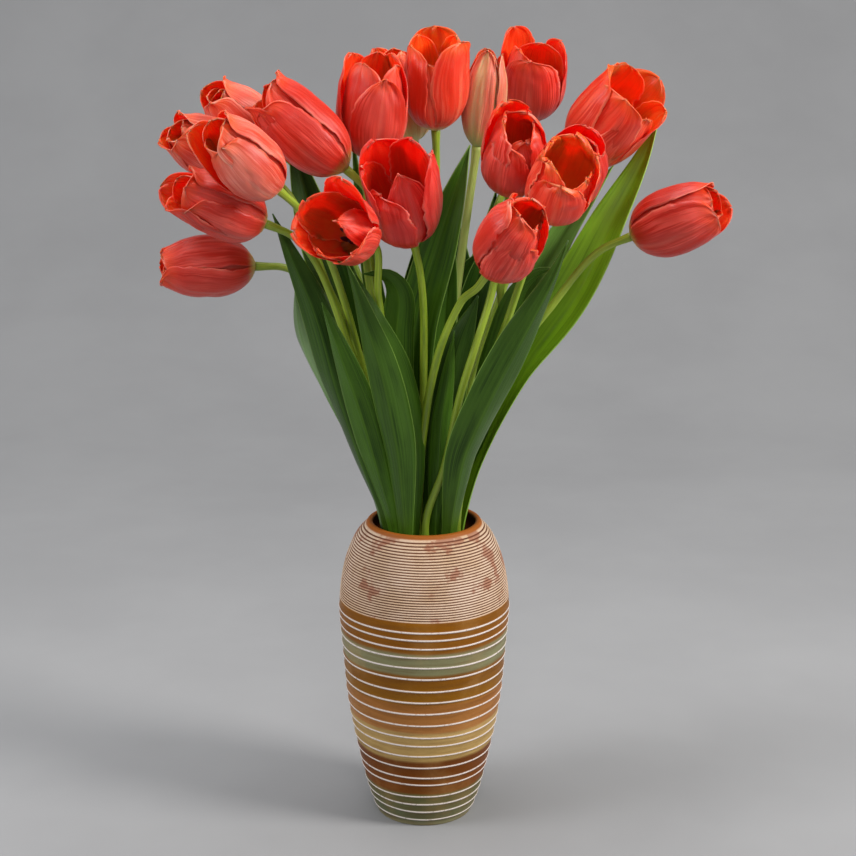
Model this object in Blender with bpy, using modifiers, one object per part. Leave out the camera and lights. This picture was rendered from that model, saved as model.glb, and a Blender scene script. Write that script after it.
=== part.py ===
"""Tulips in a vase: nineteen cut tulips with their leaves, in a tall turned stoneware vase.

Metres, +Z up. The vase stands on Z = 0 with its axis through the origin, and the front faces -Y.
Tables give lengths in millimetres and angles in degrees; MM and math.radians turn them into metres
and radians. Every stem, leaf and bloom is one closed solid.
"""

import math

import bmesh
import bpy
from mathutils import Vector

MM = 0.001
OBJECT_NAME = "tulips_in_a_vase"

# Vase: outer radius and height of its turned outline, from the foot to the rim.
VASE_OUTLINE = (
    (38.8, 0),
    (45.6, 20),
    (54.9, 60),
    (62.1, 100),
    (65.6, 140),
    (68.4, 180),
    (65.1, 210),
    (58.7, 230),
    (44.5, 249),
)
VASE_WALL = 5.0 * MM
VASE_FLOOR = 9.0 * MM
VASE_RIM_HEIGHT = 250.0 * MM
VASE_SPAN_STEPS = 2
VASE_TURN_STEPS = 48

# Stems: one radius for all, cut off level just above the vase floor.
STEM_RADIUS = 3.2 * MM
STEM_FOOT_HEIGHT = 14.0 * MM
STEM_FOOT_SPREAD = 0.95
NECK_HEIGHT = 250.0 * MM
STEM_POINTS = 12
STRAIGHT_UNDER_BLOOM = 16.0 * MM
TOUCH_GAP = 0.4 * MM

# Blooms: a cup of six petals, three outer and three inner, grown together in one shell here.
PETALS = 6
PETAL_SHELL = 1.8 * MM
NOTCH_HEIGHT = 0.80
INNER_PETAL_HEIGHT = 0.95
CUP_LEVELS = (0.0, 0.14, 0.42, 0.72, 1.0)
CUP_WAIST = ((0.0, 0.20), (0.14, 0.70), (0.42, 1.0))

# Leaves: lance-shaped blades, hollowed along the midrib.
LEAF_THICKNESS = 1.2 * MM
LEAF_ROWS = 11
LEAF_COLUMNS = 5
LEAF_TIP_SHARE = 0.05
LEAF_BASE_SHARE = 0.32

# One row a tulip: base of the bloom, direction of its axis (azimuth, elevation), length and greatest
# width of the bloom, width of its mouth as a share of the greatest width, turn of the petals,
# the stem's place in the vase's neck (x, y), and points that the stem bends through above the neck.
TULIPS = {
    "01": ((-130, 0, 454), (-162, 3), 76, 45, 0.45, 10, (-28, 5),
           ((-44, 3, 340), (-66, 1, 405), (-88, 0, 441))),
    "02": ((-118, -45, 494), (-153, 24), 78, 47, 0.60, 0, (-22, -14), ((-57, -38, 400),)),
    "03": ((-105, -80, 524), (-139, 39), 77, 46, 0.60, 20, (-20, -5),
           ((-31, -9, 300), (-66, -46, 456))),
    "04": ((-132, 10, 528), (-145, 26), 78, 46, 0.45, 40, (-21, 12),
           ((-36, 12, 340), (-72, 9, 430))),
    "05": ((-116, 60, 537), (-141, 40), 78, 46, 0.45, 0, (-13, 24), ()),
    "06": ((-57, -45, 534), (-176, 43), 88, 48, 0.70, 25, (-12, -4),
           ((-26, -9, 330), (-40, -17, 430), (-46, -33, 492))),
    "07": ((-40, -8, 537), (-67, 78), 82, 54, 0.85, 5, (-13, 5), ()),
    "08": ((9, 15, 557), (-97, 80), 75, 50, 1.00, 30, (1, 7), ((4, 9, 400),)),
    "09": ((-8, 75, 542), (-134, 71), 80, 46, 0.70, 0, (-3, 18), ()),
    "10": ((41, 30, 542), (-40, 80), 77, 32, 0.45, 15, (10, 6), ((22, 14, 400),)),
    "11": ((85, 80, 560), (-85, 66), 72, 50, 1.05, 20, (17, -6),
           ((38, -6, 330), (56, -2, 378), (61, 1, 412), (55, 16, 490))),
    "12": ((64, -35, 518), (-81, 54), 74, 49, 0.75, 10, (1, -28),
           ((16, -39, 305), (27, -45, 360), (39, -48, 402), (52, -41, 445))),
    "13": ((90, -70, 505), (-70, 48), 65, 49, 0.95, 35, (15, -19.5), ((66, -44, 430),)),
    "14": ((100, -5, 502), (-68, 47), 72, 50, 0.85, 0, (19, 1), ((50, 9, 380), (78, 6, 450))),
    "15": ((47, -105, 469), (-54, 46), 70, 46, 0.75, 20, (-5, -20),
           ((-1, -30, 325), (10, -48, 392), (27, -74, 440))),
    "16": ((156, -30, 482), (-24, 24), 75, 50, 0.65, 30, (26, -17),
           ((44, -20, 330), (66, -24, 382), (94, -26, 424))),
    "17": ((-44, -85, 489), (-118, 21), 58, 46, 1.10, 15, (-14, -19), ((-34, -50, 440),)),
    "18": ((-8, -50, 482), (-112, 60), 78, 52, 0.95, 40, (-4, -11), ()),
    "19": ((121, 45, 534), (-44, 44), 84, 58, 0.75, 10, (20, 15), ()),
}

# One row a leaf: points of its midrib from the base to the tip, half its greatest width, how far up
# that width is as a share of the length, how far the edges rise as a share of the half width, and
# the way the upper side faces at the base and at the tip.
LEAVES = {
    "01": (((-30, -12, 215), (-32, -14, 250), (-50, -22, 306), (-68, -29, 366), (-83, -28, 422),
            (-101, -25, 467), (-114, -22, 498)), 15, 0.5, 0.35, (0.8, 0.6, 0), (0, 1, 0)),
    "02": (((-33, 0, 215), (-35, -1, 250), (-54, -7, 306), (-78, -10, 358), (-94, -12, 398),
            (-99, -12, 438)), 14, 0.6, 0.5, (1, 0.3, 0), (0.6, 0.8, 0)),
    "03": (((-24, 19, 215), (-26, 20, 250), (-50, 23, 343), (-68, 31, 424), (-86, 37, 479),
            (-98, 37, 526), (-105, 35, 554)), 18, 0.6, 0.3, (0.5, -0.9, 0), (0.2, -1, 0)),
    "04": (((-14, -31, 215), (-15, -33, 250), (-17, -41, 285), (-20, -50, 320), (-32, -62, 385),
            (-45, -68, 432), (-57, -69, 470)), 13, 0.5, 0.35, (0.3, 1, 0), (0.2, 1, 0)),
    "05": (((-9, -26, 215), (-9, -27, 250), (-11, -38, 323), (-20, -47, 381), (-35, -54, 421),
            (-52, -55, 460)), 12, 0.5, 0.3, (0, 1, 0), (0, 1, 0)),
    "06": (((-23, -23, 215), (-24, -24, 250), (-37, -33, 304), (-50, -43, 355), (-63, -50, 396),
            (-76, -53, 436)), 13, 0.5, 0.35, (0.4, 0.9, 0), (0.2, 1, 0)),
    "07": (((19, -28, 215), (21, -30, 250), (26, -43, 290), (32, -53, 320), (52, -70, 371),
            (78, -84, 426), (94, -87, 460), (104, -86, 488)),
           15, 0.5, 0.4, (-0.3, 1, 0), (-0.4, 1, 0)),
    "08": (((30, -6, 215), (32, -6, 250), (48, -2, 307), (79, 4, 372), (118, 8, 429),
            (147, 18, 487), (170, 32, 530), (184, 44, 568)),
           20, 0.55, 0.3, (-0.9, -0.3, 0), (-0.5, -0.85, 0)),
    "09": (((27, 10, 215), (29, 11, 250), (46, 19, 326), (78, 28, 408), (107, 31, 469),
            (131, 31, 505), (147, 30, 528)), 14, 0.55, 0.5, (-0.4, -0.9, 0), (-0.3, -1, 0)),
    "10": (((-2, 1, 215), (-2, 0, 262), (-9, -1, 348), (-6, -8, 412), (12, -9, 478),
            (26, -5, 521), (35, 0, 547)), 16, 0.62, 0.3, (0, -1, 0), (0.2, -1, 0)),
    "11": (((9, -3, 215), (9, -3, 262), (14, 0, 340), (16, 3, 410), (20, 3, 450),
            (22, 3, 482)), 10, 0.6, 0.3, (0, -1, 0), (0, -1, 0)),
    "12": (((8, -25, 215), (9, -26, 250), (11, -29, 290), (13, -34, 334), (18, -39, 376),
            (23, -42, 412)), 8, 0.45, 0.3, (0, 1, 0), (0, 1, 0)),
    "13": (((9, -14, 215), (10, -15, 250), (16, -21, 334), (25, -29, 391), (41, -31, 437)),
           14, 0.6, 0.3, (0, 1, 0), (0, 1, 0)),
    "14": (((5, 13, 215), (5, 14, 262), (8, 20, 345), (14, 25, 410), (29, 28, 442),
            (45, 27, 463)), 12, 0.6, 0.3, (0, -1, 0), (0, -1, 0.3)),
    "15": (((-13, -11, 215), (-14, -12, 262), (-20, -18, 349), (-21, -23, 406), (-19, -28, 436),
            (-28, -35, 452), (-46, -43, 456)), 13, 0.7, 0.2, (0, 1, 0), (0, 1, 0.5)),
    "16": (((-9, 17, 215), (-11, 18, 250), (-27, 26, 357), (-41, 34, 438), (-50, 38, 501),
            (-56, 38, 552)), 8, 0.5, 0.3, (0, -1, 0), (0, -1, 0)),
    "17": (((-8, 10, 215), (-8, 11, 250), (-14, 15, 360), (-12, 17, 425), (-5, 18, 474)),
           10.5, 0.55, 0.3, (0, -1, 0), (0, -1, 0)),
    "18": (((12, 27, 215), (13, 28, 250), (20, 50, 320), (27, 61, 390), (28, 68, 440),
            (25, 72, 486)), 17, 0.58, 0.1, (-0.2, -1, 0), (0, -1, 0)),
    "19": (((18, -12, 215), (19, -12, 262), (42, -12, 329), (58, -13, 394), (70, -15, 434),
            (86, -17, 452), (103, -19, 456)), 11, 0.6, 0.3, (0, 1, 0), (0, 1, 0.4)),
    "20": (((8, 20, 215), (8, 21, 250), (26, 34, 380), (48, 41, 460), (57, 43, 508)),
           12, 0.62, 0.3, (0, -1, 0), (0, -1, 0)),
}

CLAY = ((0.42, 0.24, 0.12, 1), 0.45)
STEM_GREEN = ((0.30, 0.42, 0.07, 1), 0.5)
LEAF_GREEN = ((0.07, 0.17, 0.03, 1), 0.45)
PETAL_RED = ((0.62, 0.06, 0.03, 1), 0.4)


def new_scene():
    """Removes whatever the open file holds."""
    for obj in list(bpy.data.objects):
        bpy.data.objects.remove(obj, do_unlink=True)


def new_material(name, colour, roughness):
    material = bpy.data.materials.new(name)
    material.use_nodes = True
    shader = material.node_tree.nodes["Principled BSDF"]
    shader.inputs["Base Color"].default_value = colour
    shader.inputs["Roughness"].default_value = roughness
    shader.inputs["Metallic"].default_value = 0.0
    material.diffuse_color = colour
    return material


def add_object(name, data, collection, finish):
    obj = bpy.data.objects.new(name, data)
    collection.objects.link(obj)
    data.materials.append(new_material(name, *finish))
    return obj


def smooth_path(points, count, start_heading=None, end_heading=None):
    """Count points, evenly spaced, on a smooth curve through the given ones."""
    knots = [0.0]
    for a, b in zip(points, points[1:]):
        knots.append(knots[-1] + (b - a).length)
    slopes = []
    for i in range(len(points)):
        lo, hi = max(i - 1, 0), min(i + 1, len(points) - 1)
        slopes.append((points[hi] - points[lo]) / (knots[hi] - knots[lo]))
    if start_heading:
        slopes[0] = start_heading
    if end_heading:
        slopes[-1] = end_heading
    dense = []
    for i in range(len(points) - 1):
        span = knots[i + 1] - knots[i]
        for k in range(16):
            u = k / 16
            dense.append(
                points[i] * (2 * u**3 - 3 * u**2 + 1)
                + slopes[i] * span * (u**3 - 2 * u**2 + u)
                + points[i + 1] * (3 * u**2 - 2 * u**3)
                + slopes[i + 1] * span * (u**3 - u**2)
            )
    dense.append(points[-1])
    run = [0.0]
    for a, b in zip(dense, dense[1:]):
        run.append(run[-1] + (b - a).length)
    spaced = []
    at = 0
    for k in range(count):
        target = run[-1] * k / (count - 1)
        while at < len(run) - 2 and run[at + 1] < target:
            at += 1
        share = (target - run[at]) / (run[at + 1] - run[at])
        spaced.append(dense[at].lerp(dense[at + 1], min(share, 1.0)))
    return spaced


def direction(azimuth, elevation):
    a, e = math.radians(azimuth), math.radians(elevation)
    return Vector((math.cos(e) * math.cos(a), math.cos(e) * math.sin(a), math.sin(e)))


def frame_of(axis):
    """Two directions square to the axis and to each other."""
    side = axis.cross(Vector((0, 0, 1)))
    if side.length < 0.05:
        side = axis.cross(Vector((0, 1, 0)))
    side.normalize()
    return side, axis.cross(side)


def vase_mesh():
    """Half the vase's section, from the middle of its floor to the middle of its foot."""
    outline = [Vector((r * MM, 0, z * MM)) for r, z in VASE_OUTLINE]
    outer = smooth_path(outline, VASE_SPAN_STEPS * (len(outline) - 1) + 1)
    inner = []
    for point in outer:
        if point.z > VASE_FLOOR:
            inner.append(Vector((point.x - VASE_WALL, 0, point.z)))
    section = [Vector((0, 0, VASE_FLOOR)), Vector((inner[0].x - VASE_WALL, 0, VASE_FLOOR))]
    section += inner
    section.append(Vector((outer[-1].x - VASE_WALL / 2, 0, VASE_RIM_HEIGHT)))
    section += reversed(outer)
    section.append(Vector((0, 0, 0)))
    mesh = bpy.data.meshes.new("vase")
    mesh.from_pydata(section, [(i, i + 1) for i in range(len(section) - 1)], [])
    return mesh


def make_vase(collection):
    vase = add_object("vase", vase_mesh(), collection, CLAY)
    turn = vase.modifiers.new("turn", "SCREW")
    turn.axis = "Z"
    turn.angle = 2 * math.pi
    turn.steps = VASE_TURN_STEPS
    turn.render_steps = VASE_TURN_STEPS
    turn.use_merge_vertices = True
    turn.merge_threshold = 0.00005
    return vase


def stem_path(base, aim, neck, bends):
    """From the vase floor, up through the neck and the bends, to just under the bloom."""
    neck_point = Vector((neck[0] * MM, neck[1] * MM, NECK_HEIGHT))
    foot = neck_point * STEM_FOOT_SPREAD
    foot.z = STEM_FOOT_HEIGHT
    top = Vector(base) * MM - aim * TOUCH_GAP
    under = top - aim * STRAIGHT_UNDER_BLOOM
    through = [Vector(bend) * MM for bend in bends]
    if not through:
        rise = (under - neck_point).length
        lean = Vector((neck_point.x, neck_point.y, 0)) + Vector((0, 0, 0.12))
        start = lean.normalized() * rise
        through = [(neck_point + under) / 2 + (start - aim * rise) / 8]
    rising = (neck_point - foot).normalized()
    return [foot, *smooth_path([neck_point, *through, under], STEM_POINTS, rising, aim), top]


def make_stem(name, row, collection):
    base, angles, _, _, _, _, neck, bends = row
    points = stem_path(base, direction(*angles), neck, bends)
    curve = bpy.data.curves.new(name, "CURVE")
    curve.dimensions = "3D"
    curve.bevel_depth = STEM_RADIUS
    curve.bevel_resolution = 2
    curve.use_fill_caps = True
    spline = curve.splines.new("POLY")
    spline.points.add(len(points) - 1)
    for spot, point in zip(spline.points, points):
        spot.co = (*point, 1)
    return add_object(name, curve, collection, STEM_GREEN)


def cup_radius(level, mouth):
    """Radius at a level, as a share of the greatest, for a cup whose mouth is this share."""
    shape = (*CUP_WAIST, (0.72, 1 + (mouth - 1) * 0.45), (1.0, mouth))
    for (t0, r0), (t1, r1) in zip(shape, shape[1:]):
        if level <= t1:
            return r0 + (r1 - r0) * (level - t0) / (t1 - t0)
    return mouth


def make_bloom(name, row, collection):
    base, angles, length, width, mouth, turn, _, _ = row
    axis = direction(*angles)
    side, up = frame_of(axis)
    centre = Vector(base) * MM
    shell = bmesh.new()
    rings = []
    sides = 2 * PETALS
    for level in CUP_LEVELS:
        radius = cup_radius(level, mouth) * width / 2 * MM
        ring = []
        for k in range(sides):
            angle = math.radians(turn) + 2 * math.pi * k / sides
            height = level
            if k % 2:
                height *= NOTCH_HEIGHT
            elif k % 4:
                height *= INNER_PETAL_HEIGHT
            around = side * math.cos(angle) + up * math.sin(angle)
            height = level + (height - level) * level
            ring.append(shell.verts.new(centre + around * radius + axis * (height * length * MM)))
        rings.append(ring)
    shell.faces.new(list(reversed(rings[0])))
    for low, high in zip(rings, rings[1:]):
        for k in range(sides):
            shell.faces.new((low[k], low[(k + 1) % sides], high[(k + 1) % sides], high[k]))
    mesh = bpy.data.meshes.new(name)
    bmesh.ops.recalc_face_normals(shell, faces=shell.faces)
    shell.to_mesh(mesh)
    shell.free()
    bloom = add_object(name, mesh, collection, PETAL_RED)
    thicken(bloom, PETAL_SHELL, -1.0)
    return bloom


def thicken(obj, thickness, offset):
    solid = obj.modifiers.new("thickness", "SOLIDIFY")
    solid.thickness = thickness
    solid.offset = offset
    solid.use_rim = True


def leaf_width(along, widest):
    """Share of the greatest width, from the sheath at 0 to the pointed tip at 1."""
    if along < widest:
        share = (1 - math.cos(math.pi * along / widest)) / 2
        return LEAF_BASE_SHARE + (1 - LEAF_BASE_SHARE) * share
    share = math.cos(math.pi / 2 * ((along - widest) / (1 - widest)) ** 1.25)
    return max(share, LEAF_TIP_SHARE)


def make_leaf(name, row, collection):
    points, half_width, widest, hollow, face_base, face_tip = row
    midrib = smooth_path([Vector(p) * MM for p in points], LEAF_ROWS)
    blade = bmesh.new()
    rows = []
    for i, centre in enumerate(midrib):
        along = i / (LEAF_ROWS - 1)
        heading = (midrib[min(i + 1, LEAF_ROWS - 1)] - midrib[max(i - 1, 0)]).normalized()
        face = Vector(face_base).lerp(Vector(face_tip), along)
        across = heading.cross(face).normalized()
        upper = across.cross(heading)
        width = half_width * MM * leaf_width(along, widest)
        line = []
        for j in range(LEAF_COLUMNS):
            s = 2 * j / (LEAF_COLUMNS - 1) - 1
            lift = hollow * width * s * s
            line.append(blade.verts.new(centre + across * (s * width) + upper * lift))
        rows.append(line)
    for low, high in zip(rows, rows[1:]):
        for j in range(LEAF_COLUMNS - 1):
            blade.faces.new((low[j], low[j + 1], high[j + 1], high[j]))
    mesh = bpy.data.meshes.new(name)
    blade.to_mesh(mesh)
    blade.free()
    leaf = add_object(name, mesh, collection, LEAF_GREEN)
    thicken(leaf, LEAF_THICKNESS, 0.0)
    return leaf


def main():
    new_scene()
    collection = bpy.data.collections.new(OBJECT_NAME)
    bpy.context.scene.collection.children.link(collection)
    make_vase(collection)
    for number, row in TULIPS.items():
        make_stem("stem_" + number, row, collection)
        make_bloom("bloom_" + number, row, collection)
    for number, row in LEAVES.items():
        make_leaf("leaf_" + number, row, collection)


main()
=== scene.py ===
"""Looks for nineteen cut tulips with their leaves in a tall turned stoneware vase.

Metres, +Z up, the vase on Z = 0 with its axis through the origin, the front facing -Y. The tables
give lengths in millimetres and angles in degrees. TULIPS and LEAVES repeat the places of the CAD
model's pieces.
"""

import math
import random

import bpy
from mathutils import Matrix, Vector, noise


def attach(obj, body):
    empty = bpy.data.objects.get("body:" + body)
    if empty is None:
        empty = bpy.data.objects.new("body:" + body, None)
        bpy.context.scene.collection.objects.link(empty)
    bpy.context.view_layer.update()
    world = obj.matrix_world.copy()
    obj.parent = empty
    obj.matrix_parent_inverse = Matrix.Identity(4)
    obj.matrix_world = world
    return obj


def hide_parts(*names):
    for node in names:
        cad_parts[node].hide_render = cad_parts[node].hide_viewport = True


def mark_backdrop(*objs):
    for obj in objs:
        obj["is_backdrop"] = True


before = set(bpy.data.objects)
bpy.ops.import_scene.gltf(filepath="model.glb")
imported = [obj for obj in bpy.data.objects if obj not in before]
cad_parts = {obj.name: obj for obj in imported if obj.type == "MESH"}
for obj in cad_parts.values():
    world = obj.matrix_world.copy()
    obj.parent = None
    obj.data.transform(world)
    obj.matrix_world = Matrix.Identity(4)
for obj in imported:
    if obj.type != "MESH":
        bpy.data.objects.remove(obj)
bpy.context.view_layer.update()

MM = 0.001
UP = Vector((0, 0, 1))

# ---------------------------------------------------------------- places, as in the CAD model

STEM_RADIUS = 3.2 * MM
STEM_FOOT_HEIGHT = 14.0 * MM
STEM_FOOT_SPREAD = 0.95
NECK_HEIGHT = 250.0 * MM
STRAIGHT_UNDER_BLOOM = 16.0 * MM

# One row a tulip: base of the bloom, direction of its axis (azimuth, elevation), length and greatest
# width of the bloom, width of its mouth as a share of the greatest width, turn of the petals,
# the stem's place in the vase's neck (x, y), and points that the stem bends through above the neck.
TULIPS = {
    "01": ((-130, 0, 454), (-162, 3), 76, 45, 0.45, 10, (-28, 5),
           ((-44, 3, 340), (-66, 1, 405), (-88, 0, 441))),
    "02": ((-118, -45, 494), (-153, 24), 78, 47, 0.60, 0, (-22, -14), ((-57, -38, 400),)),
    "03": ((-105, -80, 524), (-139, 39), 77, 46, 0.60, 20, (-20, -5),
           ((-31, -9, 300), (-66, -46, 456))),
    "04": ((-132, 10, 528), (-145, 26), 78, 46, 0.45, 40, (-21, 12),
           ((-36, 12, 340), (-72, 9, 430))),
    "05": ((-116, 60, 537), (-141, 40), 78, 46, 0.45, 0, (-13, 24), ()),
    "06": ((-57, -45, 534), (-176, 43), 88, 48, 0.70, 25, (-12, -4),
           ((-26, -9, 330), (-40, -17, 430), (-46, -33, 492))),
    "07": ((-40, -8, 537), (-67, 78), 82, 54, 0.85, 5, (-13, 5), ()),
    "08": ((9, 15, 557), (-97, 80), 75, 50, 1.00, 30, (1, 7), ((4, 9, 400),)),
    "09": ((-8, 75, 542), (-134, 71), 80, 46, 0.70, 0, (-3, 18), ()),
    "10": ((41, 30, 542), (-40, 80), 77, 32, 0.45, 15, (10, 6), ((22, 14, 400),)),
    "11": ((85, 80, 560), (-85, 66), 72, 50, 1.05, 20, (17, -6),
           ((38, -6, 330), (56, -2, 378), (61, 1, 412), (55, 16, 490))),
    "12": ((64, -35, 518), (-81, 54), 74, 49, 0.75, 10, (1, -28),
           ((16, -39, 305), (27, -45, 360), (39, -48, 402), (52, -41, 445))),
    "13": ((90, -70, 505), (-70, 48), 65, 49, 0.95, 35, (15, -19.5), ((66, -44, 430),)),
    "14": ((100, -5, 502), (-68, 47), 72, 50, 0.85, 0, (19, 1), ((50, 9, 380), (78, 6, 450))),
    "15": ((47, -105, 469), (-54, 46), 70, 46, 0.75, 20, (-5, -20),
           ((-1, -30, 325), (10, -48, 392), (27, -74, 440))),
    "16": ((156, -30, 482), (-24, 24), 75, 50, 0.65, 30, (26, -17),
           ((44, -20, 330), (66, -24, 382), (94, -26, 424))),
    "17": ((-44, -85, 489), (-118, 21), 58, 46, 1.10, 15, (-14, -19), ((-34, -50, 440),)),
    "18": ((-8, -50, 482), (-112, 60), 78, 52, 0.95, 40, (-4, -11), ()),
    "19": ((121, 45, 534), (-44, 44), 84, 58, 0.75, 10, (20, 15), ()),
}

# One row a leaf: points of its midrib from the base to the tip, half its greatest width, how far up
# that width is as a share of the length, how far the edges rise as a share of the half width, and
# the way the upper side faces at the base and at the tip.
LEAVES = {
    "01": (((-30, -12, 215), (-32, -14, 250), (-50, -22, 306), (-68, -29, 366), (-83, -28, 422),
            (-101, -25, 467), (-114, -22, 498)), 15, 0.5, 0.35, (0.8, 0.6, 0), (0, 1, 0)),
    "02": (((-33, 0, 215), (-35, -1, 250), (-54, -7, 306), (-78, -10, 358), (-94, -12, 398),
            (-99, -12, 438)), 14, 0.6, 0.5, (1, 0.3, 0), (0.6, 0.8, 0)),
    "03": (((-24, 19, 215), (-26, 20, 250), (-50, 23, 343), (-68, 31, 424), (-86, 37, 479),
            (-98, 37, 526), (-105, 35, 554)), 18, 0.6, 0.3, (0.5, -0.9, 0), (0.2, -1, 0)),
    "04": (((-14, -31, 215), (-15, -33, 250), (-17, -41, 285), (-20, -50, 320), (-32, -62, 385),
            (-45, -68, 432), (-57, -69, 470)), 13, 0.5, 0.35, (0.3, 1, 0), (0.2, 1, 0)),
    "05": (((-9, -26, 215), (-9, -27, 250), (-11, -38, 323), (-20, -47, 381), (-35, -54, 421),
            (-52, -55, 460)), 12, 0.5, 0.3, (0, 1, 0), (0, 1, 0)),
    "06": (((-23, -23, 215), (-24, -24, 250), (-37, -33, 304), (-50, -43, 355), (-63, -50, 396),
            (-76, -53, 436)), 13, 0.5, 0.35, (0.4, 0.9, 0), (0.2, 1, 0)),
    "07": (((19, -28, 215), (21, -30, 250), (26, -43, 290), (32, -53, 320), (52, -70, 371),
            (78, -84, 426), (94, -87, 460), (104, -86, 488)),
           15, 0.5, 0.4, (-0.3, 1, 0), (-0.4, 1, 0)),
    "08": (((30, -6, 215), (32, -6, 250), (48, -2, 307), (79, 4, 372), (118, 8, 429),
            (147, 18, 487), (170, 32, 530), (184, 44, 568)),
           20, 0.55, 0.3, (-0.9, -0.3, 0), (-0.5, -0.85, 0)),
    "09": (((27, 10, 215), (29, 11, 250), (46, 19, 326), (78, 28, 408), (107, 31, 469),
            (131, 31, 505), (147, 30, 528)), 14, 0.55, 0.5, (-0.4, -0.9, 0), (-0.3, -1, 0)),
    "10": (((-2, 1, 215), (-2, 0, 262), (-9, -1, 348), (-6, -8, 412), (12, -9, 478),
            (26, -5, 521), (35, 0, 547)), 16, 0.62, 0.3, (0, -1, 0), (0.2, -1, 0)),
    "11": (((9, -3, 215), (9, -3, 262), (14, 0, 340), (16, 3, 410), (20, 3, 450),
            (22, 3, 482)), 10, 0.6, 0.3, (0, -1, 0), (0, -1, 0)),
    "12": (((8, -25, 215), (9, -26, 250), (11, -29, 290), (13, -34, 334), (18, -39, 376),
            (23, -42, 412)), 8, 0.45, 0.3, (0, 1, 0), (0, 1, 0)),
    "13": (((9, -14, 215), (10, -15, 250), (16, -21, 334), (25, -29, 391), (41, -31, 437)),
           14, 0.6, 0.3, (0, 1, 0), (0, 1, 0)),
    "14": (((5, 13, 215), (5, 14, 262), (8, 20, 345), (14, 25, 410), (29, 28, 442),
            (45, 27, 463)), 12, 0.6, 0.3, (0, -1, 0), (0, -1, 0.3)),
    "15": (((-13, -11, 215), (-14, -12, 262), (-20, -18, 349), (-21, -23, 406), (-19, -28, 436),
            (-28, -35, 452), (-46, -43, 456)), 13, 0.7, 0.2, (0, 1, 0), (0, 1, 0.5)),
    "16": (((-9, 17, 215), (-11, 18, 250), (-27, 26, 357), (-41, 34, 438), (-50, 38, 501),
            (-56, 38, 552)), 8, 0.5, 0.3, (0, -1, 0), (0, -1, 0)),
    "17": (((-8, 10, 215), (-8, 11, 250), (-14, 15, 360), (-12, 17, 425), (-5, 18, 474)),
           10.5, 0.55, 0.3, (0, -1, 0), (0, -1, 0)),
    "18": (((12, 27, 215), (13, 28, 250), (20, 50, 320), (27, 61, 390), (28, 68, 440),
            (25, 72, 486)), 17, 0.58, 0.1, (-0.2, -1, 0), (0, -1, 0)),
    "19": (((18, -12, 215), (19, -12, 262), (42, -12, 329), (58, -13, 394), (70, -15, 434),
            (86, -17, 452), (103, -19, 456)), 11, 0.6, 0.3, (0, 1, 0), (0, 1, 0.4)),
    "20": (((8, 20, 215), (8, 21, 250), (26, 34, 380), (48, 41, 460), (57, 43, 508)),
           12, 0.62, 0.3, (0, -1, 0), (0, -1, 0)),
}

# ---------------------------------------------------------------- how each piece looks

# One row a bloom: outward flare of the tips as a share of the half width, outward roll of the margins,
# how ragged the margins are, how pointed the tips are, the tone of its petals, and the swing of the
# whole whorl about the bloom's axis.
BLOOM_LOOKS = {
    "01": (0.04, 0.02, 0.6, 0.0, "coral", 0),
    "02": (0.16, 0.03, 0.8, 0.0, "coral", 10),
    "03": (0.10, 0.03, 0.7, 0.0, "salmon", 0),
    "04": (0.10, 0.03, 0.7, 0.0, "salmon", 0),
    "05": (0.08, 0.03, 0.7, 0.0, "salmon", 0),
    "06": (0.02, 0.04, 0.9, 0.0, "coral", 10),
    "07": (-0.02, 0.05, 0.7, 0.3, "coral", 72),
    "08": (-0.05, 0.03, 0.6, 0.0, "orange", 0),
    "09": (0.00, 0.04, 0.4, 0.4, "striped", 0),
    "10": (0.00, 0.02, 0.3, 0.3, "bud", 0),
    "11": (-0.10, 0.05, 0.7, 0.0, "coral", 55),
    "12": (-0.04, 0.03, 1.5, 0.0, "coral", 45),
    "13": (-0.06, 0.04, 1.5, 0.0, "orange", 35),
    "14": (-0.15, 0.06, 0.9, 0.0, "deep", 0),
    "15": (-0.06, 0.03, 1.4, 0.0, "coral", 50),
    "16": (-0.02, 0.04, 0.7, 0.0, "coral", 0),
    "17": (-0.10, 0.08, 1.2, 0.0, "coral", 0),
    "18": (-0.12, 0.06, 1.1, 0.1, "deep", 30),
    "19": (0.08, 0.04, 0.8, 0.0, "orange", 70),
}

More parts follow.
